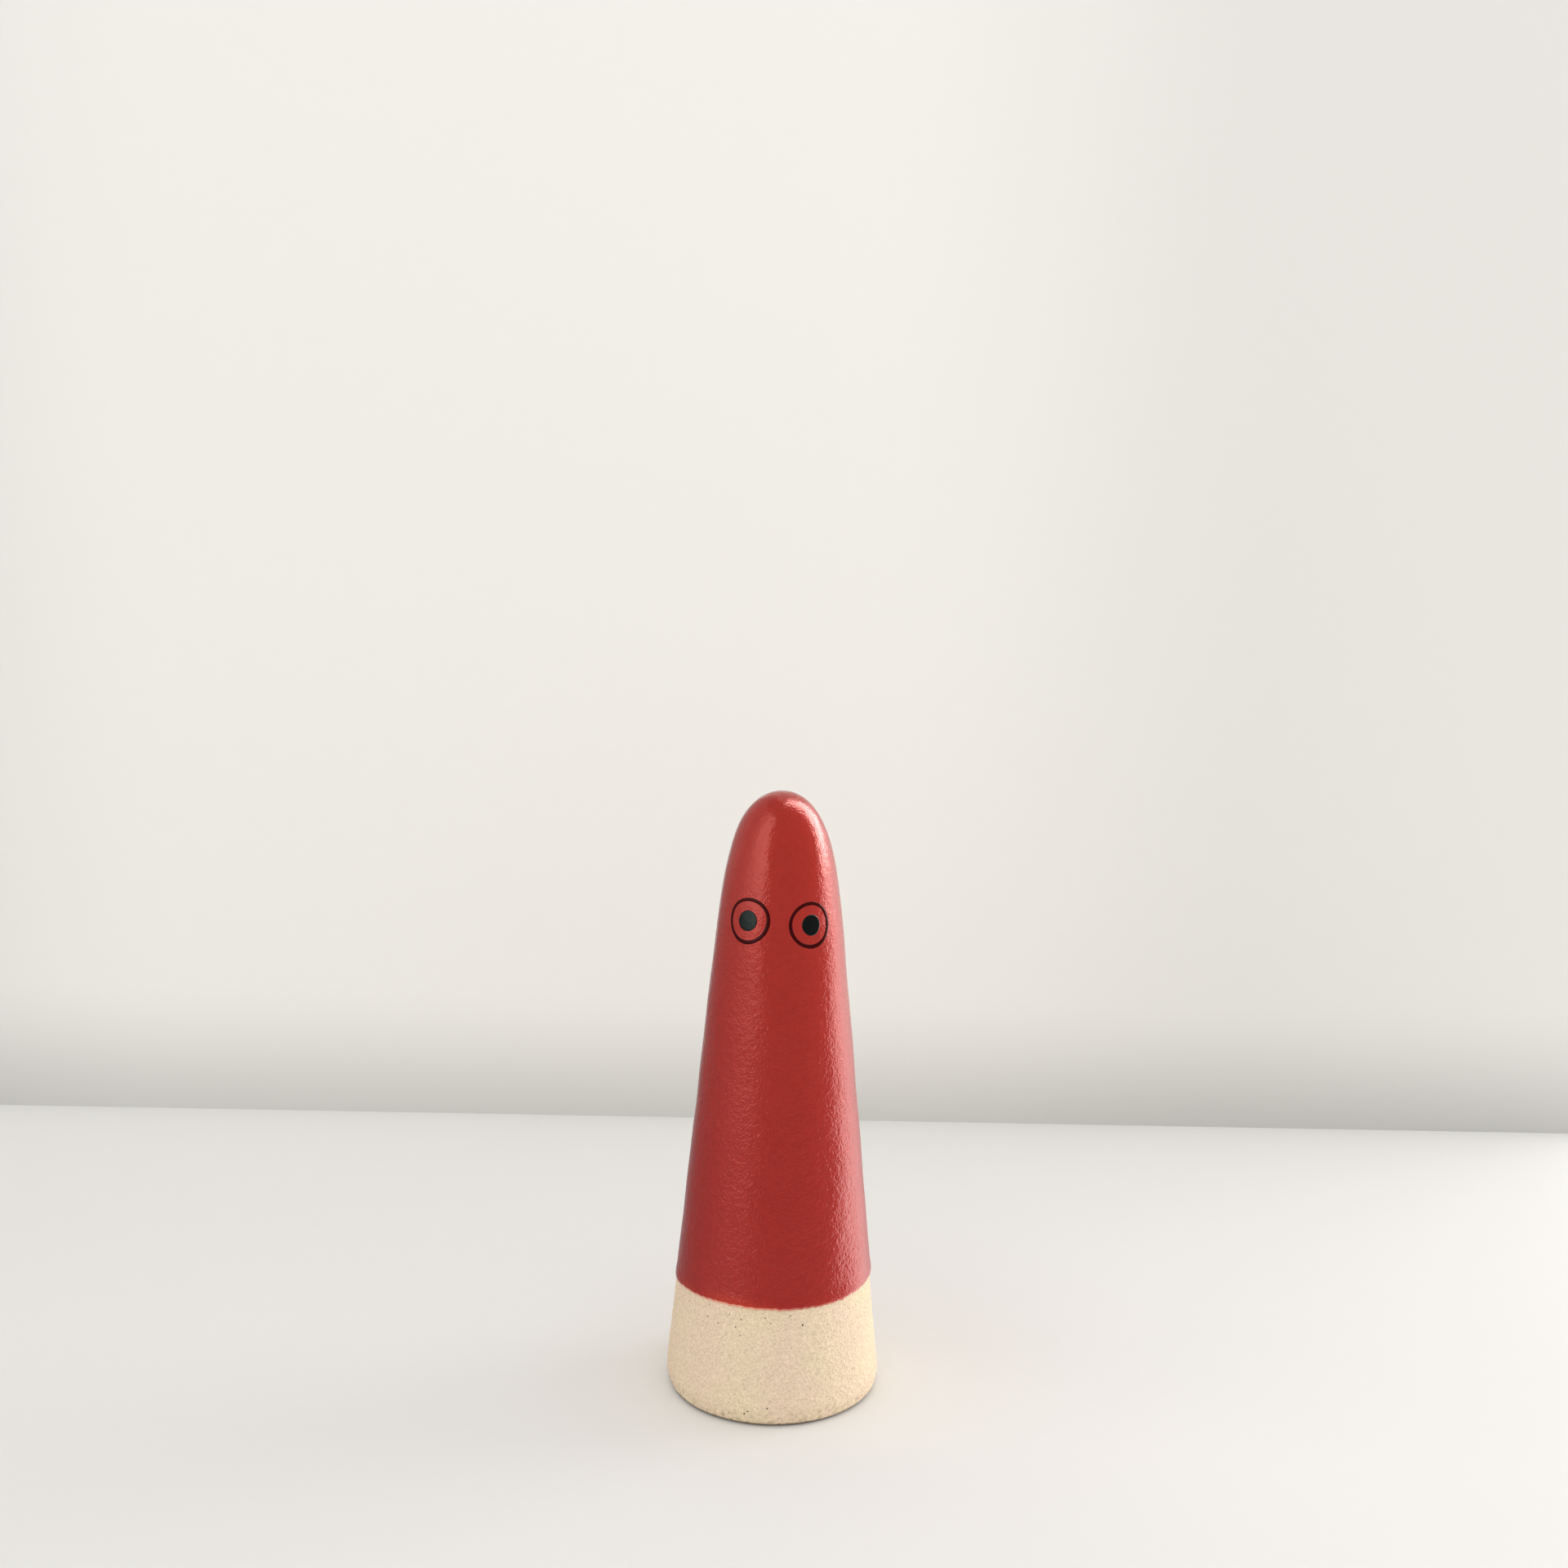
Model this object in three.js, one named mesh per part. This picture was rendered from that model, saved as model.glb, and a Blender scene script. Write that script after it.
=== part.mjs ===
import * as THREE from "three";

// A hollow stoneware figurine shaped like a tall cone with a round tip. It is dipped tip down in glaze,
// so that the foot stays bare, and carries two eyes, each a drawn ring around a solid pupil.
// Millimetres, +Z up, the foot stands on z = 0 and the face looks along -Y. Angles count from the
// front, positive towards +X.

// Clay body
const bodyHeight = 119.3;
const coneBaseDiameter = 43.1;
const coneTopDiameter = 19.1;
const tipSharpness = 18;
const wallThickness = 4;
const floorThickness = 5;
const footInset = 2;
const footRounding = 4.5;
const drainHoleDiameter = 10;
const drainHoleChamfer = 0.8;

// Glaze coat
const fitGap = 0.05;
const glazeThickness = 0.25;
const glazeLineHeight = 22.3;
const glazeLineRiseToRight = 1.4;
const glazeLineRiseToFront = 0.8;

// Eye marks
const eyeRingDiameter = 8.9;
const eyeLineWidth = 0.6;
const pupilDiameter = 4;
const pupilShift = 0.1;
const markThickness = 0.1;
const eyePlaces = [
  { side: "left", angle: -30, belowTip: 23.7 },
  { side: "right", angle: 29, belowTip: 24.3 },
];

// Fineness of the facets
const turnSteps = 48;
const climbSteps = 16;
const footSteps = 5;
const edgeSteps = 4;
const ringSteps = 44;
const pupilSteps = 24;
const pupilBands = 3;

const clayFinish = { color: 0xdfcba9, roughness: 0.85, metalness: 0 };
const glazeFinish = { color: 0xa02a2a, roughness: 0.15, metalness: 0 };
const lineFinish = { color: 0x3a0508, roughness: 0.2, metalness: 0 };
const pupilFinish = { color: 0x0b0908, roughness: 0.15, metalness: 0 };

// The point of the outline at a height: a straight taper, times a factor that rounds the tip off.
// An offset moves the point along the outline's normal, outwards where it is positive.
function outlinePoint(cone, height, offset = 0) {
  const share = Math.min(height / cone.height, 1);
  const taper = THREE.MathUtils.lerp(cone.baseRadius, cone.topRadius, share);
  const taperSlope = (cone.topRadius - cone.baseRadius) / cone.height;
  const tipFactor = Math.sqrt(1 - share ** cone.sharpness);
  const tipSlope = (taper * cone.sharpness * share ** (cone.sharpness - 1)) / (2 * cone.height);
  const normal = new THREE.Vector2(tipFactor, tipSlope - taperSlope * tipFactor ** 2);
  return new THREE.Vector2(taper * tipFactor, height).addScaledVector(normal.normalize(), offset);
}

const outerCone = {
  baseRadius: coneBaseDiameter / 2,
  topRadius: coneTopDiameter / 2,
  height: bodyHeight,
  sharpness: tipSharpness,
};

const hollowCone = {
  baseRadius: outerCone.baseRadius - wallThickness,
  topRadius: outerCone.topRadius - wallThickness,
  height: bodyHeight - wallThickness,
  sharpness: tipSharpness,
};

// Heights from one level up to another, closer together towards the top, where the outline curves.
function climb(from, to) {
  const quarter = Math.PI / 2;
  return Array.from({ length: climbSteps + 1 }, (_, step) =>
    THREE.MathUtils.lerp(from, to, Math.sin((quarter * step) / climbSteps)),
  );
}

// The rounded foot, from the flat underside up to where the cone's wall begins.
function footPoints() {
  return Array.from({ length: footSteps }, (_, step) => {
    const turn = (Math.PI / 2) * (step / footSteps);
    const height = footRounding * (1 - Math.cos(turn));
    const inset = footInset * (1 - Math.sin(turn));
    return new THREE.Vector2(outlinePoint(outerCone, height).x - inset, height);
  });
}

// The hollow shell in one outline: down the inside from the tip, over the floor, through the drain
// hole, across the underside and up the outside. Under the glaze it has the glaze's own facets, so
// that the skin follows it closely.
function clayProfile() {
  const inside = climb(floorThickness, hollowCone.height).map((height) =>
    outlinePoint(hollowCone, height),
  );
  const holeRadius = drainHoleDiameter / 2;
  const drainHole = [
    new THREE.Vector2(holeRadius, floorThickness),
    new THREE.Vector2(holeRadius, drainHoleChamfer),
    new THREE.Vector2(holeRadius + drainHoleChamfer, 0),
  ];
  const outside = [footRounding, ...climb(glazeLineHeight, outerCone.height)].map((height) =>
    outlinePoint(outerCone, height),
  );
  return [...inside.reverse(), ...drainHole, ...footPoints(), ...outside];
}

// The height of the dipped edge of the glaze at an angle: a level line, leaned to the side and front.
function glazeLineAt(angle) {
  const toRight = Math.sin(angle) * Math.tan(THREE.MathUtils.degToRad(glazeLineRiseToRight));
  const toFront = Math.cos(angle) * Math.tan(THREE.MathUtils.degToRad(glazeLineRiseToFront));
  return glazeLineHeight + outlinePoint(outerCone, glazeLineHeight).x * (toRight + toFront);
}

// The glaze skin at an angle: down its inside from the tip, around its rounded edge and up its outside.
function glazeProfile(angle) {
  const heights = climb(glazeLineAt(angle), outerCone.height);
  const inside = heights.map((height) => outlinePoint(outerCone, height, fitGap));
  const outside = heights.map((height) =>
    outlinePoint(outerCone, height, fitGap + glazeThickness),
  );
  const middle = inside[0].clone().lerp(outside[0], 0.5);
  const across = outside[0].clone().sub(middle);
  const down = new THREE.Vector2(across.y, -across.x);
  const edge = Array.from({ length: edgeSteps - 1 }, (_, step) => {
    const turn = Math.PI * ((step + 1) / edgeSteps);
    return middle
      .clone()
      .addScaledVector(across, -Math.cos(turn))
      .addScaledVector(down, Math.sin(turn));
  });
  return [...inside.reverse(), ...edge, ...outside];
}

// A lathe whose outline may change with the angle. It has the same number of points at every angle.
function turnedShape(profileAt) {
  const shape = new THREE.LatheGeometry(profileAt(0), turnSteps);
  const position = shape.getAttribute("position");
  for (let step = 0; step <= turnSteps; step += 1) {
    const angle = (2 * Math.PI * step) / turnSteps;
    const profile = profileAt(angle);
    profile.forEach((point, index) => {
      const across = point.x * Math.sin(angle);
      const forward = point.x * Math.cos(angle);
      position.setXYZ(step * profile.length + index, across, point.y, forward);
    });
  }
  return shape.rotateX(Math.PI / 2);
}

// Lays a flat mark on the front of the glaze at a height. The mark is drawn around the Y axis, with
// its thickness along it: its X becomes the way around the cone and its Z the way down.
function layOnGlaze(shape, height) {
  const clearance = fitGap + glazeThickness + fitGap;
  const slope = outlinePoint(outerCone, height, 1).sub(outlinePoint(outerCone, height));
  const position = shape.getAttribute("position");
  for (let index = 0; index < position.count; index += 1) {
    const level = height - position.getZ(index) * slope.x;
    const point = outlinePoint(outerCone, level, clearance + position.getY(index));
    const angle = position.getX(index) / outlinePoint(outerCone, level, clearance).x;
    position.setXYZ(index, point.x * Math.sin(angle), -point.x * Math.cos(angle), point.y);
  }
  return shape;
}

function eyeRing(height) {
  const outer = eyeRingDiameter / 2;
  const inner = outer - eyeLineWidth;
  const section = [
    new THREE.Vector2(inner, 0),
    new THREE.Vector2(outer, 0),
    new THREE.Vector2(outer, markThickness),
    new THREE.Vector2(inner, markThickness),
    new THREE.Vector2(inner, 0),
  ];
  return layOnGlaze(new THREE.LatheGeometry(section, ringSteps), height);
}

function pupil(height, shift) {
  const radii = Array.from({ length: pupilBands + 1 }, (_, band) =>
    (pupilDiameter / 2) * (band / pupilBands),
  );
  const under = radii.map((radius) => new THREE.Vector2(radius, 0));
  const over = radii.map((radius) => new THREE.Vector2(radius, markThickness));
  const disc = new THREE.LatheGeometry([...under, ...over.reverse()], pupilSteps);
  return layOnGlaze(disc.translate(shift, 0, 0), height);
}

function namedPiece(name, shape, finish) {
  const piece = new THREE.Mesh(shape, new THREE.MeshStandardMaterial(finish));
  piece.name = name;
  return piece;
}

function eye({ side, angle, belowTip }) {
  const height = bodyHeight - belowTip;
  const turned = new THREE.Group();
  turned.rotation.z = THREE.MathUtils.degToRad(angle);
  turned.add(
    namedPiece(`eye_ring_${side}`, eyeRing(height), lineFinish),
    namedPiece(`pupil_${side}`, pupil(height, Math.sign(angle) * pupilShift), pupilFinish),
  );
  return turned;
}

const figurine = new THREE.Group();
figurine.add(
  namedPiece("clay_body", turnedShape(clayProfile), clayFinish),
  namedPiece("glaze_coat", turnedShape(glazeProfile), glazeFinish),
  ...eyePlaces.map(eye),
);

export default figurine;
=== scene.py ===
import math

import bpy
import numpy as np
from mathutils import Euler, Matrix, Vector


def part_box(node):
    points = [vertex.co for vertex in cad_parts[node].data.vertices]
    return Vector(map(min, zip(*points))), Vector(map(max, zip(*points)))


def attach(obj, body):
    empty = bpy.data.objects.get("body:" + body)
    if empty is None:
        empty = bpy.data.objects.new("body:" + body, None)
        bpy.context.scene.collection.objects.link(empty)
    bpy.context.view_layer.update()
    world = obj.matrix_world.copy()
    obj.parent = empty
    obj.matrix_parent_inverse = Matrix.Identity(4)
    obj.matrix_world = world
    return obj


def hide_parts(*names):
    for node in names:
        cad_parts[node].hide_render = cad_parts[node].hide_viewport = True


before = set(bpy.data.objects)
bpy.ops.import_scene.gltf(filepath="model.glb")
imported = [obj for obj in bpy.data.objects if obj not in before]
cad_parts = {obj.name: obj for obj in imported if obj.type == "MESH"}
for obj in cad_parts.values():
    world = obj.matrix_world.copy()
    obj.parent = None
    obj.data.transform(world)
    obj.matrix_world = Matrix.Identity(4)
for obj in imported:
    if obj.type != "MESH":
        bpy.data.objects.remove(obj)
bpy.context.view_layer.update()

scene = bpy.context.scene
mm = 0.001

# the cone as the CAD has it: a straight taper whose tip is rounded off by a power of the height
cone = {
    "baseDiameter": 43.1,
    "topDiameter": 19.1,
    "tipSharpness": 18,
    "height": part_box("clay_body")[1].z / mm,
}


def toLinear(hexColour, alpha=1.0):
    channels = [int(hexColour[i:i + 2], 16) / 255 for i in (1, 3, 5)]
    bent = [c / 12.92 if c <= 0.04045 else ((c + 0.055) / 1.055) ** 2.4 for c in channels]
    return (*bent, alpha)


def perMm(size):
    # texture scale on metre coordinates for a pattern that repeats every size millimetres
    return 1 / (size * mm)


def conePoint(height, offset=0.0):
    # radius = linear taper times the square root of 1 - share ** sharpness, moved out along the
    # outline's normal by the offset; returns radius and height as arrays
    share = np.clip(height / cone["height"], 0, 1)
    base, top, power = cone["baseDiameter"] / 2, cone["topDiameter"] / 2, cone["tipSharpness"]
    taper = base + (top - base) * share
    slope = (top - base) / cone["height"]
    tip = np.sqrt(1 - share ** power)
    normalOut = tip
    normalUp = taper * power * share ** (power - 1) / (2 * cone["height"]) - slope * tip ** 2
    length = np.hypot(normalOut, normalUp)
    return taper * tip + offset * normalOut / length, height + offset * normalUp / length


def around(radius, angle, height):
    # angle 0 faces the front, -Y, and grows towards +X
    return np.stack(np.broadcast_arrays(radius * np.sin(angle), -radius * np.cos(angle), height), -1)


def onCone(height, angle, offset):
    # points of the cone's surface at heights and angles, moved off it by the offset
    radius, level = conePoint(height, offset)
    return around(radius, angle, level)


def waveField(points, shortest, longest, waves, seed):
    # an even ripple with no grid in it: a seeded sum of plane waves of unit spread, whose lengths
    # lie between the two sizes
    rng = np.random.default_rng(seed)
    direction = rng.normal(size=(waves, 3))
    direction /= np.linalg.norm(direction, axis=1, keepdims=True)
    number = direction * (2 * math.pi / rng.uniform(shortest, longest, (waves, 1)))
    phase = rng.uniform(0, 2 * math.pi, waves)
    return np.cos(points @ number.T + phase).sum(-1) * math.sqrt(2 / waves)


def smoothStep(low, high, value):
    share = np.clip((value - low) / (high - low), 0, 1)
    return share * share * (3 - 2 * share)


def evenAlong(radius, height, step):
    # resamples an outline so that its points lie one step apart along it
    length = np.r_[0, np.cumsum(np.hypot(np.diff(radius), np.diff(height)))]
    where = np.linspace(0, length[-1], max(2, int(round(length[-1] / step)) + 1))
    return np.interp(where, length, radius), np.interp(where, length, height)


def gridMesh(name, grid, poles=None, attributes=None):
    # a closed mesh from rows of points that each run once round; poles are the two points that
    # close the first and last row, and without them the last row joins the first
    rows, turns = grid.shape[:2]
    points = grid.reshape(-1, 3)
    index = np.arange(rows * turns).reshape(rows, turns)
    if poles is None:
        below, above = index, np.roll(index, -1, 0)
    else:
        below, above = index[:-1], index[1:]
    quads = np.stack([below, np.roll(below, -1, 1), np.roll(above, -1, 1), above], -1)
    corners = quads.reshape(-1)
    sizes = np.full(len(corners) // 4, 4)
    if poles is not None:
        first, last = rows * turns, rows * turns + 1
        points = np.vstack([points, poles])
        startFan = np.stack([np.full(turns, first), np.roll(index[0], -1), index[0]], -1)
        endFan = np.stack([index[-1], np.roll(index[-1], -1), np.full(turns, last)], -1)
        corners = np.r_[corners, startFan.reshape(-1), endFan.reshape(-1)]
        sizes = np.r_[sizes, np.full(2 * turns, 3)]
    mesh = bpy.data.meshes.new(name)
    mesh.vertices.add(len(points))
    mesh.vertices.foreach_set("co", (points * mm).astype(np.float32).reshape(-1))
    mesh.loops.add(len(corners))
    mesh.loops.foreach_set("vertex_index", corners.astype(np.int32))
    mesh.polygons.add(len(sizes))
    mesh.polygons.foreach_set("loop_start", np.r_[0, np.cumsum(sizes)[:-1]].astype(np.int32))
    mesh.update(calc_edges=True)
    mesh.shade_smooth()
    for key, values in (attributes or {}).items():
        flat = values.reshape(-1)
        if poles is not None:
            flat = np.r_[flat, values[0].mean(), values[-1].mean()]
        mesh.attributes.new(key, "FLOAT", "POINT").data.foreach_set("value", flat.astype(np.float32))
    mesh.validate()
    piece = bpy.data.objects.new(name, mesh)
    scene.collection.objects.link(piece)
    return piece


def addNode(tree, kind, settings=None, inputs=None):
    node = tree.nodes.new(kind)
    for key, value in (settings or {}).items():
        setattr(node, key, value)
    for key, value in (inputs or {}).items():
        if isinstance(value, bpy.types.NodeSocket):
            tree.links.new(value, node.inputs[key])
        else:
            node.inputs[key].default_value = value
    return node


def newMaterial(name):
    material = bpy.data.materials.new(name)
    material.use_nodes = True
    tree = material.node_tree
    tree.nodes.clear()
    return material, tree


def handIn(piece, material, node):
    piece.data.materials.append(material)
    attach(piece, "root")
    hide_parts(node)


# the bare stoneware body, in millimetres; waves are shortest, longest, how many and the seed
clay = {
    "turns": 616,
    "footInset": 2.0,
    "footRounding": 4.5,
    "wall": 4.0,
    "floor": 5.0,
    "drainHole": 10.0,
    "drainChamfer": 0.8,
    "fineStep": 0.2,  # spacing of the rows where the clay shows
    "bareTop": 24.6,  # the fine rows end under the glaze here
    "hollowRows": 14,
    "underRows": 9,
    "hiddenRows": 12,  # under the glaze
    "grain": 0.036,  # height of the sandy relief
    "fineGrain": (0.55, 1.1, 90, 11),
    "coarseGrain": (1.4, 3.0, 40, 12),
    "coarseShare": 0.6,
    "swell": 0.05,  # slow unevenness from the hand
    "swellWaves": (14, 30, 24, 13),
    "smoothFoot": 1.2,  # the relief fades in up to this height
    "pitDepth": 0.2,
    # pinholes on the front: angle, height and radius
    "pinholes": [
        (-57, 20.3, 0.15), (-51, 19.2, 0.13), (-40, 19.2, 0.15), (-39, 21.6, 0.1), (-32, 18.7, 0.14),
        (-25, 20.8, 0.1), (-21, 18.7, 0.14), (-18, 20.3, 0.14), (-18, 17.3, 0.12), (-4, 21.0, 0.11),
        (-1, 20.1, 0.14), (-2, 19.0, 0.11), (10, 21.4, 0.13), (17, 19.5, 0.19), (37, 17.2, 0.1),
        (43, 9.8, 0.14), (45, 9.2, 0.12), (-14, 2.5, 0.2), (-12, 3.1, 0.17), (-2, 4.0, 0.17),
    ],
    # scattered on the sides and back in the same way: most lie just under the glaze, where it pulled
    # gas out of the clay, and a few stray further down
    "otherPinholes": {"seed": 5, "count": 60, "angles": (66, 294), "radii": (0.1, 0.18), "highest": 21.8,
                      "spread": 5, "crowding": 1.6, "strayShare": 0.15, "strayDrop": 12},
}


def clayOutline():
    # the shell's outline in parts: down the hollow, over the floor and out through the drain hole,
    # across the underside, round the foot, up the bare wall and on under the glaze
    hollowTop = cone["height"] - clay["wall"]
    climb = np.sin(np.linspace(math.pi / 2, 0, clay["hollowRows"])[1:])
    hollowHeight = clay["floor"] + (hollowTop - clay["floor"]) * climb
    share = hollowHeight / hollowTop
    taper = cone["baseDiameter"] / 2 + (cone["topDiameter"] - cone["baseDiameter"]) / 2 * share
    hollowRadius = (taper - clay["wall"]) * np.sqrt(1 - share ** cone["tipSharpness"])
    hole, chamfer = clay["drainHole"] / 2, clay["drainChamfer"]
    throughRadius = np.array([hole + chamfer / 3, hole, hole, hole + chamfer])
    throughHeight = np.array([clay["floor"], clay["floor"] - chamfer / 3, chamfer, 0])
    turn = np.linspace(0, math.pi / 2, 60)
    footHeight = clay["footRounding"] * (1 - np.cos(turn))
    footRadius = conePoint(footHeight)[0] - clay["footInset"] * (1 - np.sin(turn))
    underRadius = np.linspace(hole + chamfer, footRadius[0], clay["underRows"])[1:-1]
    wallHeight = np.linspace(clay["footRounding"], clay["bareTop"], 200)[1:]
    outerRadius, outerHeight = evenAlong(
        np.r_[footRadius, conePoint(wallHeight)[0]], np.r_[footHeight, wallHeight], clay["fineStep"]
    )
    hiddenHeight = clay["bareTop"] + (cone["height"] - clay["bareTop"]) * np.sin(
        np.linspace(0, math.pi / 2, clay["hiddenRows"])[1:-1]
    )
    radius = np.r_[hollowRadius, throughRadius, underRadius, outerRadius, conePoint(hiddenHeight)[0]]
    height = np.r_[hollowHeight, throughHeight, underRadius * 0, outerHeight, hiddenHeight]
    outside = np.zeros(len(radius))
    start = len(hollowRadius) + len(throughRadius) + len(underRadius)
    outside[start:start + len(outerRadius)] = 1
    return radius, height, outside, hollowTop


def clayPits(angle, height):
    # depth of the pinholes, from 0 to 1: each is a round dip one radius wide
    others = clay["otherPinholes"]
    rng = np.random.default_rng(others["seed"])
    count = others["count"]
    angles = rng.uniform(*others["angles"], count)
    drop = others["spread"] * rng.random(count) ** others["crowding"]
    stray = others["strayDrop"] * (rng.random(count) < others["strayShare"])
    scattered = np.stack([angles, others["highest"] - drop - stray, rng.uniform(*others["radii"], count)], -1)
    listed = np.array(clay["pinholes"], float)
    depth = np.zeros(np.broadcast(angle, height).shape)
    for pitAngle, pitHeight, pitRadius in np.vstack([listed, scattered]):
        turn = np.angle(np.exp(1j * (angle - math.radians(pitAngle))))
        distance = np.hypot(turn * cone["baseDiameter"] / 2, height - pitHeight) / pitRadius
        depth = np.maximum(depth, np.exp(-distance ** 2))
    return depth


def makeClay():
    # the outline turned once round; grain, swell and pinholes move its points along the outline's normal
    radius, height, outside, hollowTop = clayOutline()
    angle = np.linspace(0, 2 * math.pi, clay["turns"], endpoint=False)
    outward = np.gradient(height)
    upward = -np.gradient(radius)
    length = np.hypot(outward, upward)
    outward, upward = outward / length, upward / length
    rowHeight, rowRadius = height[:, None], radius[:, None]
    points = around(rowRadius, angle[None], rowHeight)
    shown = outside[:, None] * smoothStep(0, clay["smoothFoot"], rowHeight)
    coarse = clay["coarseShare"] * waveField(points, *clay["coarseGrain"])
    grain = waveField(points, *clay["fineGrain"]) + coarse
    swell = waveField(points, *clay["swellWaves"])
    pits = clayPits(angle[None], rowHeight) * outside[:, None]
    lift = shown * (clay["grain"] * grain + clay["swell"] * swell) - clay["pitDepth"] * pits
    points = around(rowRadius + lift * outward[:, None], angle[None], rowHeight + lift * upward[:, None])
    poles = [(0, 0, hollowTop), (0, 0, cone["height"])]
    return gridMesh("bareClay", points, poles, {"pit": pits})


# the glaze coat, in millimetres and degrees
glaze = {
    "turns": 360,
    "step": 0.4,
    "thickness": 0.3,  # over the clay
    "sink": 0.1,  # how far the glass has melted into the clay
    "edgeRound": 0.45,
    "bead": 0.1,  # extra thickness where the glaze gathered above its edge
    "beadReach": 1.1,
    "lineHeight": 22.3,
    "riseToRight": 1.4,
    "riseToFront": 0.8,
    "scallop": 0.05,  # the finely broken edge
    "scallopWaves": (1.0, 2.2, 60, 21),
    "waver": 0.03,  # slower wander of the dipped line
    "waverWaves": (9, 22, 20, 22),
    "bow": 0.3,  # the line dips three times round, once right of the face
    "bowTurn": 15,
    "ripple": 0.007,
    "rippleWaves": (1.3, 2.4, 110, 31),
    "swell": 0.035,
    "swellWaves": (8, 18, 30, 32),
    "rippleStart": (0.1, 1.0),  # the ripple fades in at these distances from the edge
    "edgeRows": (0, 0.015, 0.05, 0.11, 0.19, 0.29),
    "innerRows": 17,
}


def glazeLine(angle):
    # a level line leaned by two small slopes, with a fine scalloped edge, a slow waver and a
    # three-fold bow
    lean = np.sin(angle) * math.tan(math.radians(glaze["riseToRight"]))
    lean = lean + np.cos(angle) * math.tan(math.radians(glaze["riseToFront"]))
    radius = conePoint(np.array(glaze["lineHeight"]))[0]
    circle = around(radius, angle, np.zeros_like(angle))
    fine = glaze["scallop"] * waveField(circle, *glaze["scallopWaves"])
    slow = glaze["waver"] * waveField(circle, *glaze["waverWaves"])
    bow = -glaze["bow"] * np.sin(3 * angle + math.radians(glaze["bowTurn"]))
    return glaze["lineHeight"] + radius * lean + fine + slow + bow


def glazeRipple(points):
    # rounded cushions over a millimetre across, on a slow swell
    cushions = glaze["ripple"] * waveField(points, *glaze["rippleWaves"])
    return cushions + glaze["swell"] * waveField(points, *glaze["swellWaves"])


def makeGlaze():
    # the cone moved out by the coat's thickness: a rounded edge, a bead above it and the ripple; the
    # inside lies sunk in the clay
    angle = np.linspace(0, 2 * math.pi, glaze["turns"], endpoint=False)
    line = glazeLine(angle)[None]
    # rows climb from the edge in even steps along the outline, with closer rows at the edge
    climb = glaze["lineHeight"] + (cone["height"] - glaze["lineHeight"]) * np.sin(
        np.linspace(0, math.pi / 2, 2000)
    )
    _, evenHeight = evenAlong(*conePoint(climb), glaze["step"])
    edgeHeight = glaze["lineHeight"] + np.array(glaze["edgeRows"])
    rowHeight = np.r_[edgeHeight, evenHeight[1:-1]][:, None]
    share = (rowHeight - glaze["lineHeight"]) / (cone["height"] - glaze["lineHeight"])
    height = line + (cone["height"] - line) * share
    fromEdge = height - line
    corner = np.clip(fromEdge / glaze["edgeRound"], 0, 1)
    thick = glaze["thickness"] + glaze["bead"] * np.exp(-((fromEdge / glaze["beadReach"] - 0.8) ** 2))
    offset = -glaze["sink"] + (thick + glaze["sink"]) * np.sqrt(1 - (1 - corner) ** 2)
    radius, level = conePoint(height, offset)
    ripple = glazeRipple(around(radius, angle[None], level)) * smoothStep(*glaze["rippleStart"], fromEdge)
    outside = onCone(height, angle[None], offset + ripple)
    innerShare = np.sin(np.linspace(math.pi / 2, 0, glaze["innerRows"])[1:-1])[:, None]
    innerHeight = line + (cone["height"] - line) * innerShare
    inside = onCone(innerHeight, angle[None], -glaze["sink"])
    distance = np.vstack([cone["height"] - line + 0 * innerHeight, fromEdge])
    tip = glaze["thickness"] + float(glazeRipple(np.array([[0, 0, cone["height"]]]))[0])
    poles = [(0, 0, cone["height"] - glaze["sink"]), (0, 0, cone["height"] + tip)]
    return gridMesh("redGlaze", np.vstack([inside, outside]), poles, {"fromEdge": distance})


# the drawn eyes, in millimetres
marks = {
    "ringDiameter": 8.9,
    "lineWidth": 0.7,
    "pupilDiameter": 4.0,
    "lift": 0.05,  # how proud the fired line stands
    "sink": 0.06,
    "climb": 0.994,  # height gained for each millimetre up the sloping wall
    "ringTurns": 220,
    "sectionTurns": 12,
    "pupilTurns": 96,
    "pupilRows": 16,
}


def cadPlace(node):
    # angle and height of a CAD mark on the cone, from the middle of its vertices
    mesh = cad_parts[node].data
    points = np.empty(len(mesh.vertices) * 3)
    mesh.vertices.foreach_get("co", points)
    middle = points.reshape(-1, 3).mean(0) / mm
    return math.atan2(middle[0], -middle[1]), middle[2]


def onGlaze(place, across, up, lift):
    # lays flat millimetres, measured from a place, onto the rippled glaze and lifts them off it
    angle, height = place[0], place[1] + up * marks["climb"]
    radius, level = conePoint(height, glaze["thickness"])
    turn = angle + across / radius
    ripple = glazeRipple(around(radius, turn, level))
    return onCone(height, turn, glaze["thickness"] + ripple + lift)


def makeRing(name, place, seed):
    # a low rounded line carried round a circle that a hand has made slightly uneven
    rng = np.random.default_rng(seed)
    turn = np.linspace(0, 2 * math.pi, marks["ringTurns"], endpoint=False)[:, None]
    section = np.linspace(0, 2 * math.pi, marks["sectionTurns"], endpoint=False)[None]
    shift = rng.uniform(0, 2 * math.pi, 4)
    uneven = 0.035 * np.cos(2 * turn + shift[0]) + 0.025 * np.cos(3 * turn + shift[1])
    width = marks["lineWidth"] * (1 + 0.1 * np.cos(turn + 0.9) + 0.05 * np.cos(4 * turn + shift[2]))
    middle = (marks["ringDiameter"] - marks["lineWidth"]) / 2 + uneven
    radius = middle + width / 2 * np.cos(section)
    lift = np.where(np.sin(section) > 0, marks["lift"], marks["sink"]) * np.sin(section)
    return gridMesh(name, onGlaze(place, radius * np.cos(turn), radius * np.sin(turn), lift))


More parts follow.
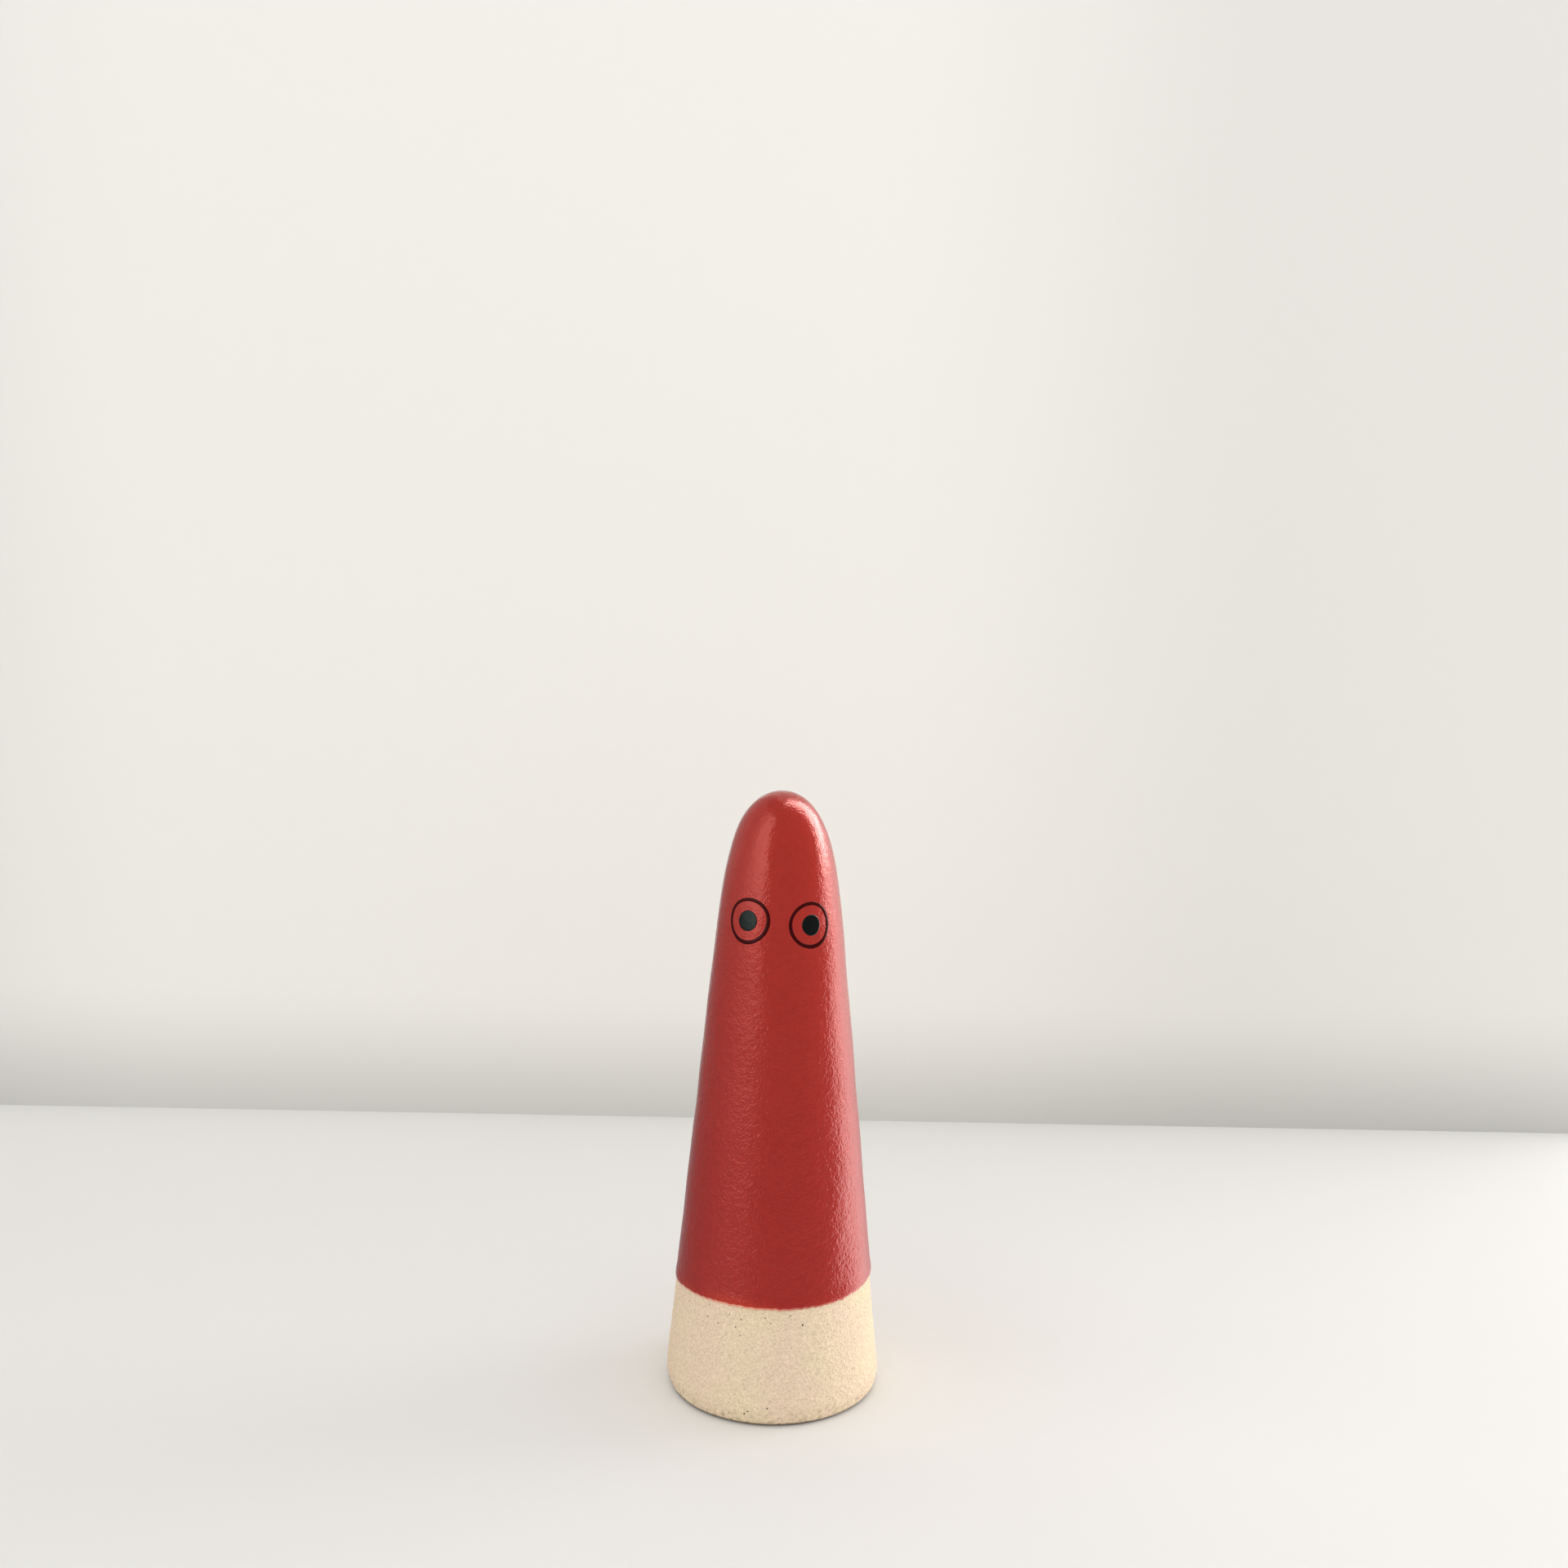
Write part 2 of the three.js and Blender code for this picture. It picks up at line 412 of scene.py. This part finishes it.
def makePupil(name, place, seed):
    # a round, slightly domed drop: rows run out along its underside, round the rim and back over it
    rng = np.random.default_rng(seed)
    turn = np.linspace(0, 2 * math.pi, marks["pupilTurns"], endpoint=False)[None]
    shift = rng.uniform(0, 2 * math.pi, 2)
    outline = marks["pupilDiameter"] / 2 * (
        1 + 0.014 * np.cos(2 * turn + shift[0]) + 0.01 * np.cos(3 * turn + shift[1])
    )
    under = np.linspace(0, 1, marks["pupilRows"])[1:-1, None]
    over = under[::-1]
    rows = np.vstack([under, [[1.0]], over])
    lift = np.vstack([0 * under - marks["sink"], [[0.0]], marks["lift"] * np.sqrt(1 - over ** 4)])
    radius = outline * rows
    grid = onGlaze(place, radius * np.cos(turn), radius * np.sin(turn), lift)
    centre = np.zeros((1, 1))
    poles = [onGlaze(place, centre, centre, np.array([[-marks["sink"]]]))[0, 0],
             onGlaze(place, centre, centre, np.array([[marks["lift"]]]))[0, 0]]
    return gridMesh(name, grid, poles)


def remap(tree, value, low, high, toLow=0.0, toHigh=1.0, smooth=False):
    # an even ramp, or a soft one where smooth, from one pair of values to another
    kind = "SMOOTHSTEP" if smooth else "LINEAR"
    return addNode(tree, "ShaderNodeMapRange", {"interpolation_type": kind}, {
        "Value": value, "From Min": low, "From Max": high, "To Min": toLow, "To Max": toHigh}).outputs[0]


def blend(tree, factor, first, second):
    return addNode(tree, "ShaderNodeMix", {"data_type": "RGBA"}, {
        "Factor": factor, "A": first, "B": second}).outputs[2]


def multiply(tree, first, second):
    return addNode(tree, "ShaderNodeMath", {"operation": "MULTIPLY"}, {0: first, 1: second}).outputs[0]


# the clay's colours, among them painted shade at the foot and in the pinholes, the sizes and depth of its
# patterns and how far up the foot the specks and painted shade reach, in millimetres
clayLook = {
    "cream": "#edd9b9",
    "warmCream": "#edd5bb",
    "grog": "#8a6f4e",
    # darker specks with painted shade at the foot
    "specksAndShade": "#927b5c",
    # painted shadow along the floor
    "footShadow": "#4a3b2c",
    # painted shade inside the pinholes
    "pinholeShade": "#33251a",
    "toneSize": 9,
    "grainSize": 0.4,
    "grogSize": 0.8,
    "stipple": (0.79, 1.14),  # darkest and lightest grains
    "grainDepth": 0.36,
    "specksAndShadeTop": 4.5,
    "footShadowTop": 1.0,
}


def stonewareMaterial():
    # stoneware, fired and left bare: cream, sandy and dry, with darker grog, pinholes darkened by painted
    # shade, and a foot darkened by darker specks with painted shade and, along the floor, by a painted shadow
    material, tree = newMaterial("firedStoneware")
    place = addNode(tree, "ShaderNodeTexCoord").outputs["Object"]
    height = addNode(tree, "ShaderNodeSeparateXYZ", None, {0: place}).outputs["Z"]
    broad = addNode(tree, "ShaderNodeTexNoise", None, {
        "Vector": place, "Scale": perMm(clayLook["toneSize"]), "Detail": 3.0})
    grains = addNode(tree, "ShaderNodeTexNoise", None, {
        "Vector": place, "Scale": perMm(clayLook["grainSize"]), "Detail": 2.0, "Roughness": 0.55})
    grog = addNode(tree, "ShaderNodeTexNoise", None, {
        "Vector": place, "Scale": perMm(clayLook["grogSize"]), "Detail": 1.0, "Roughness": 0.5})
    tone = blend(tree, remap(tree, broad.outputs["Fac"], 0.38, 0.62),
                 toLinear(clayLook["cream"]), toLinear(clayLook["warmCream"]))
    stipple = remap(tree, grains.outputs["Fac"], 0.25, 0.75, *clayLook["stipple"])
    sandy = addNode(tree, "ShaderNodeVectorMath", {"operation": "SCALE"}, {0: tone, "Scale": stipple})
    speck = remap(tree, grog.outputs["Fac"], 0.69, 0.76, 0.0, 0.35)
    specked = blend(tree, speck, sandy.outputs[0], toLinear(clayLook["grog"]))
    # darker greyish specks mixed with painted shade, strongest at the foot and fading out a few millimetres
    # up
    low = remap(tree, height, 0.6 * mm, clayLook["specksAndShadeTop"] * mm, 1.0, 0.0)
    specksAndShadeMask = multiply(tree, low, remap(tree, grog.outputs["Fac"], 0.52, 0.66, 0.0, 0.5))
    specksAndShade = blend(tree, specksAndShadeMask, specked, toLinear(clayLook["specksAndShade"]))
    # painted shadow: the colour turns near black in the last millimetre, where the foot meets the floor
    lowest = remap(tree, height, 0.25 * mm, clayLook["footShadowTop"] * mm, 0.85, 0.0, True)
    footShadowed = blend(tree, lowest, specksAndShade, toLinear(clayLook["footShadow"]))
    # painted shade: the pinholes are coloured near black for the shade inside them
    pit = addNode(tree, "ShaderNodeAttribute", {"attribute_name": "pit"})
    pinholeShaded = blend(tree, remap(tree, pit.outputs["Fac"], 0.15, 0.6), footShadowed, toLinear(clayLook["pinholeShade"]))
    bump = addNode(tree, "ShaderNodeBump", None, {
        "Height": grains.outputs["Fac"], "Distance": clayLook["grainDepth"] * mm, "Strength": 1.0})
    surface = addNode(tree, "ShaderNodeBsdfPrincipled", None, {
        "Base Color": pinholeShaded, "Roughness": 0.85, "IOR": 1.5, "Specular IOR Level": 0.25,
        "Normal": bump.outputs["Normal"]})
    addNode(tree, "ShaderNodeOutputMaterial", None, {"Surface": surface.outputs[0]})
    return material


# the glaze's colours, the sizes and depth of its patterns in millimetres, and its gloss
glazeLook = {
    "red": "#9a201c",
    "redAtTip": "#a32b23",
    "thinRed": "#bd3419",  # where the clay glows through
    # paler thin edge with a painted highlight of the rolled edge
    "edgeAndHighlight": "#eba18a",  # the last half millimetre
    "bubble": "#f0b8a8",
    "mirrorTint": "#ff8679",  # of the soft gloss below the clear surface
    "mottleSize": 1.6,
    "patchSize": 9,
    "bubbleSize": 6,
    "wormSize": 1.1,
    "pebbleSize": 0.42,
    "pebbleShare": 0.75,
    "peelDepth": 0.2,
    "peel": (0.7, 0.26),  # strength below and at the tip, where the glaze ran smooth
    "haze": (0.3, 0.2),  # roughness of the soft gloss, low and high
    "coat": 0.34,
    "coatRoughness": 0.06,
}


def addPeel(tree, place, strength):
    # worm-like orange peel half a millimetre to a millimetre across, with finer pebbling on it
    worms = addNode(tree, "ShaderNodeTexNoise", None, {
        "Vector": place, "Scale": perMm(glazeLook["wormSize"]), "Detail": 1.0, "Roughness": 0.5,
        "Distortion": 0.6})
    pebbles = addNode(tree, "ShaderNodeTexNoise", None, {
        "Vector": place, "Scale": perMm(glazeLook["pebbleSize"]), "Detail": 1.0, "Roughness": 0.5})
    both = addNode(tree, "ShaderNodeMath", {"operation": "MULTIPLY_ADD"}, {
        0: pebbles.outputs["Fac"], 1: glazeLook["pebbleShare"], 2: worms.outputs["Fac"]})
    bump = addNode(tree, "ShaderNodeBump", None, {
        "Height": both.outputs[0], "Distance": glazeLook["peelDepth"] * mm, "Strength": strength})
    return bump.outputs["Normal"]


def glazeMaterial():
    # gloss glaze coloured with a fired red stain: a glass skin that mirrors the room, over a body
    # of tiny bubbles that spreads the light softly
    material, tree = newMaterial("redGlossGlaze")
    place = addNode(tree, "ShaderNodeTexCoord").outputs["Object"]
    axes = addNode(tree, "ShaderNodeSeparateXYZ", None, {0: place})
    across, height = axes.outputs["X"], axes.outputs["Z"]
    red = blend(tree, remap(tree, height, 45 * mm, 118 * mm),
                toLinear(glazeLook["red"]), toLinear(glazeLook["redAtTip"]))
    mottle = addNode(tree, "ShaderNodeTexNoise", None, {
        "Vector": place, "Scale": perMm(glazeLook["mottleSize"]), "Detail": 5.0})
    uneven = remap(tree, mottle.outputs["Fac"], 0.3, 0.7, 0.95, 1.05)
    mottled = addNode(tree, "ShaderNodeVectorMath", {"operation": "SCALE"}, {0: red, "Scale": uneven})
    # where the coat ends it is thin, so that the clay shows through it, first orange and then pink; the pink
    # edge also carries a painted highlight of the rolled edge, strongest on the left
    edge = addNode(tree, "ShaderNodeAttribute", {"attribute_name": "fromEdge"}).outputs["Fac"]
    patch = addNode(tree, "ShaderNodeTexNoise", None, {
        "Vector": place, "Scale": perMm(glazeLook["patchSize"]), "Detail": 2.0})
    leftOfMiddle = multiply(tree, remap(tree, across, -16 * mm, -9 * mm),
                            remap(tree, across, 2 * mm, -6 * mm))
    thinned = addNode(tree, "ShaderNodeMath", {"operation": "MAXIMUM"}, {
        0: leftOfMiddle, 1: remap(tree, patch.outputs["Fac"], 0.5, 0.7, 0.0, 0.6)}).outputs[0]
    glow = multiply(tree, remap(tree, edge, 0.3, 2.6, 0.6, 0.0, True), thinned)
    warmed = blend(tree, glow, mottled.outputs[0], toLinear(glazeLook["thinRed"]))
    # painted highlight over the paler thin edge: the last half millimetre turns pale pink, strongest left of
    # the middle
    edgeAndHighlight = multiply(tree, remap(tree, edge, 0.3, 0.62, 1.0, 0.0, True),
                      remap(tree, across, 8 * mm, -4 * mm, 0.35, 1.0))
    pale = blend(tree, edgeAndHighlight, warmed, toLinear(glazeLook["edgeAndHighlight"]))
    # a few tiny burst bubbles
    bubbles = addNode(tree, "ShaderNodeTexVoronoi", None, {
        "Vector": place, "Scale": perMm(glazeLook["bubbleSize"])})
    burst = remap(tree, bubbles.outputs["Distance"], 0.018, 0.034, 0.7, 0.0)
    coloured = blend(tree, burst, pale, toLinear(glazeLook["bubble"]))
    haze = remap(tree, height, 40 * mm, 110 * mm, *glazeLook["haze"])
    peeled = addPeel(tree, place, remap(tree, height, 60 * mm, 114 * mm, *glazeLook["peel"]))
    surface = addNode(tree, "ShaderNodeBsdfPrincipled", None, {
        "Base Color": coloured, "Roughness": haze, "IOR": 1.5, "Specular IOR Level": 1.0,
        "Specular Tint": toLinear(glazeLook["mirrorTint"]), "Normal": peeled, "Coat Normal": peeled,
        "Coat Weight": glazeLook["coat"], "Coat Roughness": glazeLook["coatRoughness"], "Coat IOR": 1.5})
    addNode(tree, "ShaderNodeOutputMaterial", None, {"Surface": surface.outputs[0]})
    return material


# the drawn lines and dots: colour and specular level of each, and what both share
enamelLook = {
    "line": ("#3a0608", 0.1),
    "dot": ("#040505", 0.34),
    "mirrorTint": "#dcf2ea",
    "roughness": 0.18,
    "peel": 0.12,
}


def enamelMaterial(name, colour, specular):
    # ceramic enamel fired onto the glaze: near black and as glossy as the glass below it
    material, tree = newMaterial(name)
    place = addNode(tree, "ShaderNodeTexCoord").outputs["Object"]
    surface = addNode(tree, "ShaderNodeBsdfPrincipled", None, {
        "Base Color": toLinear(colour), "Roughness": enamelLook["roughness"], "IOR": 1.5,
        "Specular IOR Level": specular, "Specular Tint": toLinear(enamelLook["mirrorTint"]),
        "Normal": addPeel(tree, place, enamelLook["peel"])})
    addNode(tree, "ShaderNodeOutputMaterial", None, {"Surface": surface.outputs[0]})
    return material


handIn(makeClay(), stonewareMaterial(), "clay_body")
print("clay made")
handIn(makeGlaze(), glazeMaterial(), "glaze_coat")
print("glaze made")
lineEnamel = enamelMaterial("darkLineEnamel", *enamelLook["line"])
dotEnamel = enamelMaterial("blackEnamel", *enamelLook["dot"])
for number, side in enumerate(("left", "right")):
    ring, dot = "eye_ring_" + side, "pupil_" + side
    handIn(makeRing("drawnRing." + side, cadPlace(ring), 41 + number), lineEnamel, ring)
    handIn(makePupil("pupilDot." + side, cadPlace(dot), 51 + number), dotEnamel, dot)
print("eyes made")

# the room, in millimetres: a pale floor and wall under soft daylight
room = {
    "wallBehind": 165,
    "wallRightEnd": 252,
    "wallHeight": 900,
    "reach": 2000,
    # beyond these the gloss sees the room instead of the wall
    "mirrorLeft": 65,
    "mirrorRight": 115,
    "floorColour": "#ecebe9",
    "wallColour": "#f1f0ec",
    # painted shade: the wall's colour darkens towards the floor and towards its ends: from where, to where
    # and how far
    "shadeFoot": (42, -8, 0.7),
    "shadeRight": (20, 150, 0.88),
    "shadeLeft": (-180, -460, 0.5),
}


def darkened(tree, distance, shade):
    # how light the wall's paint is made along one direction, as painted shade: full up to the start, and the
    # amount past the end
    start, end, amount = shade
    return remap(tree, distance, start * mm, end * mm, 1.0, amount, True)


def paint(name, colour, shaded=False):
    # matt emulsion with no pattern of its own; shaded, it carries painted shade that darkens it softly
    # towards the wall's ends
    material, tree = newMaterial(name + "Paint")
    shade = toLinear(colour)
    if shaded:
        place = addNode(tree, "ShaderNodeTexCoord").outputs["Object"]
        axes = addNode(tree, "ShaderNodeSeparateXYZ", None, {0: place})
        lit = multiply(tree, darkened(tree, axes.outputs["Z"], room["shadeFoot"]),
                       darkened(tree, axes.outputs["X"], room["shadeRight"]))
        lit = multiply(tree, lit, darkened(tree, axes.outputs["X"], room["shadeLeft"]))
        shade = addNode(tree, "ShaderNodeVectorMath", {"operation": "SCALE"}, {
            0: toLinear(colour)[:3], "Scale": lit}).outputs[0]
    surface = addNode(tree, "ShaderNodeBsdfPrincipled", None, {
        "Base Color": shade, "Roughness": 0.9, "Specular IOR Level": 0.1})
    addNode(tree, "ShaderNodeOutputMaterial", None, {"Surface": surface.outputs[0]})
    return material


def panel(name, corners, material, mirroredInGloss):
    mesh = bpy.data.meshes.new(name)
    mesh.from_pydata([tuple(c * mm for c in corner) for corner in corners], [], [(0, 1, 2, 3)])
    board = bpy.data.objects.new(name, mesh)
    scene.collection.objects.link(board)
    board.visible_glossy = mirroredInGloss
    mesh.materials.append(material)


def addRoom():
    # the wall stands in three parts, because the gloss mirrors only the middle one
    far, back, top = room["reach"], room["wallBehind"], room["wallHeight"]
    wallPaint = paint("wall", room["wallColour"], True)
    panel("floor", [(-far, -far, 0), (far, -far, 0), (far, far, 0), (-far, far, 0)],
          paint("floor", room["floorColour"]), False)
    middle = (-room["mirrorLeft"], room["mirrorRight"])
    parts = {"wall": middle, "wallRight": (middle[1], room["wallRightEnd"]), "wallLeft": (-far, middle[0])}
    for name, (start, end) in parts.items():
        corners = [(start, back, 0), (end, back, 0), (end, back, top), (start, back, top)]
        panel(name, corners, wallPaint, name == "wall")


# the window stands to the right, partly behind the wall: angle from the front, distance and height of
# its middle, width and height in mm, and the radiance of its panes
window = {
    "angle": 121,
    "distance": 1200,
    "middle": 165,
    "size": (1340, 310),
    "radiance": (13.5, 13.4, 13.4),
}

# the soft fill from the rest of the room, and how bright the backdrop is seen past the wall's edges
fill = {"horizon": 1.2, "zenith": 0.95, "left": 1.14, "right": 0.9, "seen": 0.86}

# what the gloss mirrors of the room: a dim room in front, a bright patch to the left and the window to
# the right. Angles count from the front in degrees, and heights are sines of the height angle; a pair
# says where a change starts and where it is complete
mirrored = {
    "dim": 0.3,
    "corner": {"bright": 0.22, "angles": (-92, -112)},  # the far left of the room
    "floorAhead": {"bright": 0.6, "heights": (-0.1, -0.3), "angles": (90, 75)},
    "floorBehind": {"bright": 0.5, "heights": (0.02, -0.1), "angles": (148, 162)},
    "patch": {"bright": 2.3, "startAngle": -30, "softness": 2, "angles": (-40, -92), "farShare": 0.12,
              "foot": (-0.22, 0.14), "top": (0.92, 0.76)},
    "window": {"low": 2.9, "high": 8.6, "rise": (0.0, 0.18), "lean": 9, "leanHeights": (0.1, 0.32),
               "angles": (88, 101)},
    "besideWindow": {"bright": 1.4, "angles": (124, 130), "endAngles": (155, 150)},
}


def addWindow():
    data = bpy.data.lights.new("window", "AREA")
    data.shape = "RECTANGLE"
    data.size, data.size_y = window["size"][0] * mm, window["size"][1] * mm
    data.color = [c / window["radiance"][0] for c in window["radiance"]]
    # a flat panel of radiance L sends out pi x L x its area
    data.energy = math.pi * window["radiance"][0] * data.size * data.size_y
    lamp = bpy.data.objects.new("window", data)
    turn = math.radians(window["angle"])
    reach = window["distance"] * mm
    lamp.location = (math.sin(turn) * reach, -math.cos(turn) * reach, window["middle"] * mm)
    lamp.rotation_euler = (math.pi / 2, 0, turn)
    lamp.visible_camera = False
    lamp.visible_glossy = False
    scene.collection.objects.link(lamp)


def fade(tree, factor, first, second):
    return addNode(tree, "ShaderNodeMix", {"data_type": "FLOAT"}, {
        "Factor": factor, "A": first, "B": second}).outputs[0]


def within(tree, value, limits, toLow=0.0, toHigh=1.0, smooth=False):
    # a ramp between two angles given in degrees
    start, end = (math.radians(limit) for limit in limits)
    return remap(tree, value, start, end, toLow, toHigh, smooth)


def mirroredRoom(tree, turn, climb):
    # how bright the gloss finds the room: turn is the angle from the front, climb the sine of the
    # height angle
    corner, patch, pane = mirrored["corner"], mirrored["patch"], mirrored["window"]
    floorAhead, floorBehind = mirrored["floorAhead"], mirrored["floorBehind"]
    beside = mirrored["besideWindow"]
    aside = addNode(tree, "ShaderNodeMath", {"operation": "ABSOLUTE"}, {0: turn}).outputs[0]
    dim = within(tree, turn, corner["angles"], mirrored["dim"], corner["bright"], True)
    ahead = multiply(tree, remap(tree, climb, *floorAhead["heights"], 0.0, 1.0, True),
                     within(tree, aside, floorAhead["angles"]))
    near = fade(tree, ahead, dim, floorAhead["bright"])
    behind = multiply(tree, remap(tree, climb, *floorBehind["heights"]),
                      within(tree, aside, floorBehind["angles"]))
    ground = fade(tree, behind, near, floorBehind["bright"])
    # the patch ends sharply towards the front and fades away to the left, above and below
    start, soft = patch["startAngle"], patch["softness"]
    edge = within(tree, turn, (start + soft, start - soft))
    faded = within(tree, turn, patch["angles"], 1.0, patch["farShare"], True)
    raised = multiply(tree, remap(tree, climb, *patch["foot"], 0.0, 1.0, True),
                      remap(tree, climb, *patch["top"], 0.0, 1.0, True))
    withPatch = fade(tree, multiply(tree, multiply(tree, edge, faded), raised), ground, patch["bright"])
    # the window leans away from the front towards its top, and the wall beside it is lit by it
    lean = remap(tree, climb, *pane["leanHeights"], 0.0, math.radians(pane["lean"]), True)
    across = addNode(tree, "ShaderNodeMath", {"operation": "SUBTRACT"}, {0: turn, 1: lean}).outputs[0]
    opening = multiply(tree, within(tree, across, pane["angles"], 0.0, 1.0, True),
                       within(tree, turn, beside["endAngles"]))
    panes = remap(tree, climb, *pane["rise"], pane["low"], pane["high"], True)
    glow = fade(tree, within(tree, across, beside["angles"]), panes, beside["bright"])
    return fade(tree, opening, withPatch, glow)


def addRoomLight():
    world = bpy.data.worlds.new("room")
    scene.world = world
    world.use_nodes = True
    tree = world.node_tree
    tree.nodes.clear()
    axes = addNode(tree, "ShaderNodeSeparateXYZ", None, {
        0: addNode(tree, "ShaderNodeTexCoord").outputs["Generated"]})
    path = addNode(tree, "ShaderNodeLightPath")
    even = multiply(tree, remap(tree, axes.outputs["Z"], 0, 1, fill["horizon"], fill["zenith"]),
                    remap(tree, axes.outputs["X"], -1, 1, fill["left"], fill["right"]))
    # the angle from the front, 0 along -Y and growing towards +X
    turn = addNode(tree, "ShaderNodeMath", {"operation": "ARCTAN2"}, {
        0: axes.outputs["X"], 1: multiply(tree, axes.outputs["Y"], -1.0)})
    gloss = mirroredRoom(tree, turn.outputs[0], axes.outputs["Z"])
    chosen = fade(tree, path.outputs["Is Glossy Ray"], even, gloss)
    shown = fade(tree, path.outputs["Is Camera Ray"], chosen, fill["seen"])
    sky = addNode(tree, "ShaderNodeBackground", None, {"Color": toLinear("#fefdfb"), "Strength": shown})
    addNode(tree, "ShaderNodeOutputWorld", None, {"Surface": sky.outputs[0]})


addRoom()
addWindow()
addRoomLight()
print("room lit")

# where the camera stands, in millimetres, how it is turned, in degrees, and its lens
view = {"x": 0.3, "distance": 304.9, "height": 152.7, "pitch": 5.96, "roll": 1.05, "lens": 36.06}
camera = bpy.data.objects.new("camera", bpy.data.cameras.new("camera"))
camera.data.lens = view["lens"]
camera.data.sensor_width = 36
camera.data.clip_start = 0.01
camera.location = (view["x"] * mm, -view["distance"] * mm, view["height"] * mm)
camera.rotation_mode = "QUATERNION"
pitchTurn = Euler((math.pi / 2 - math.radians(view["pitch"]), 0, 0)).to_quaternion()
camera.rotation_quaternion = pitchTurn @ Euler((0, 0, math.radians(view["roll"]))).to_quaternion()
scene.collection.objects.link(camera)
scene.camera = camera
scene.view_settings.view_transform = "Standard"
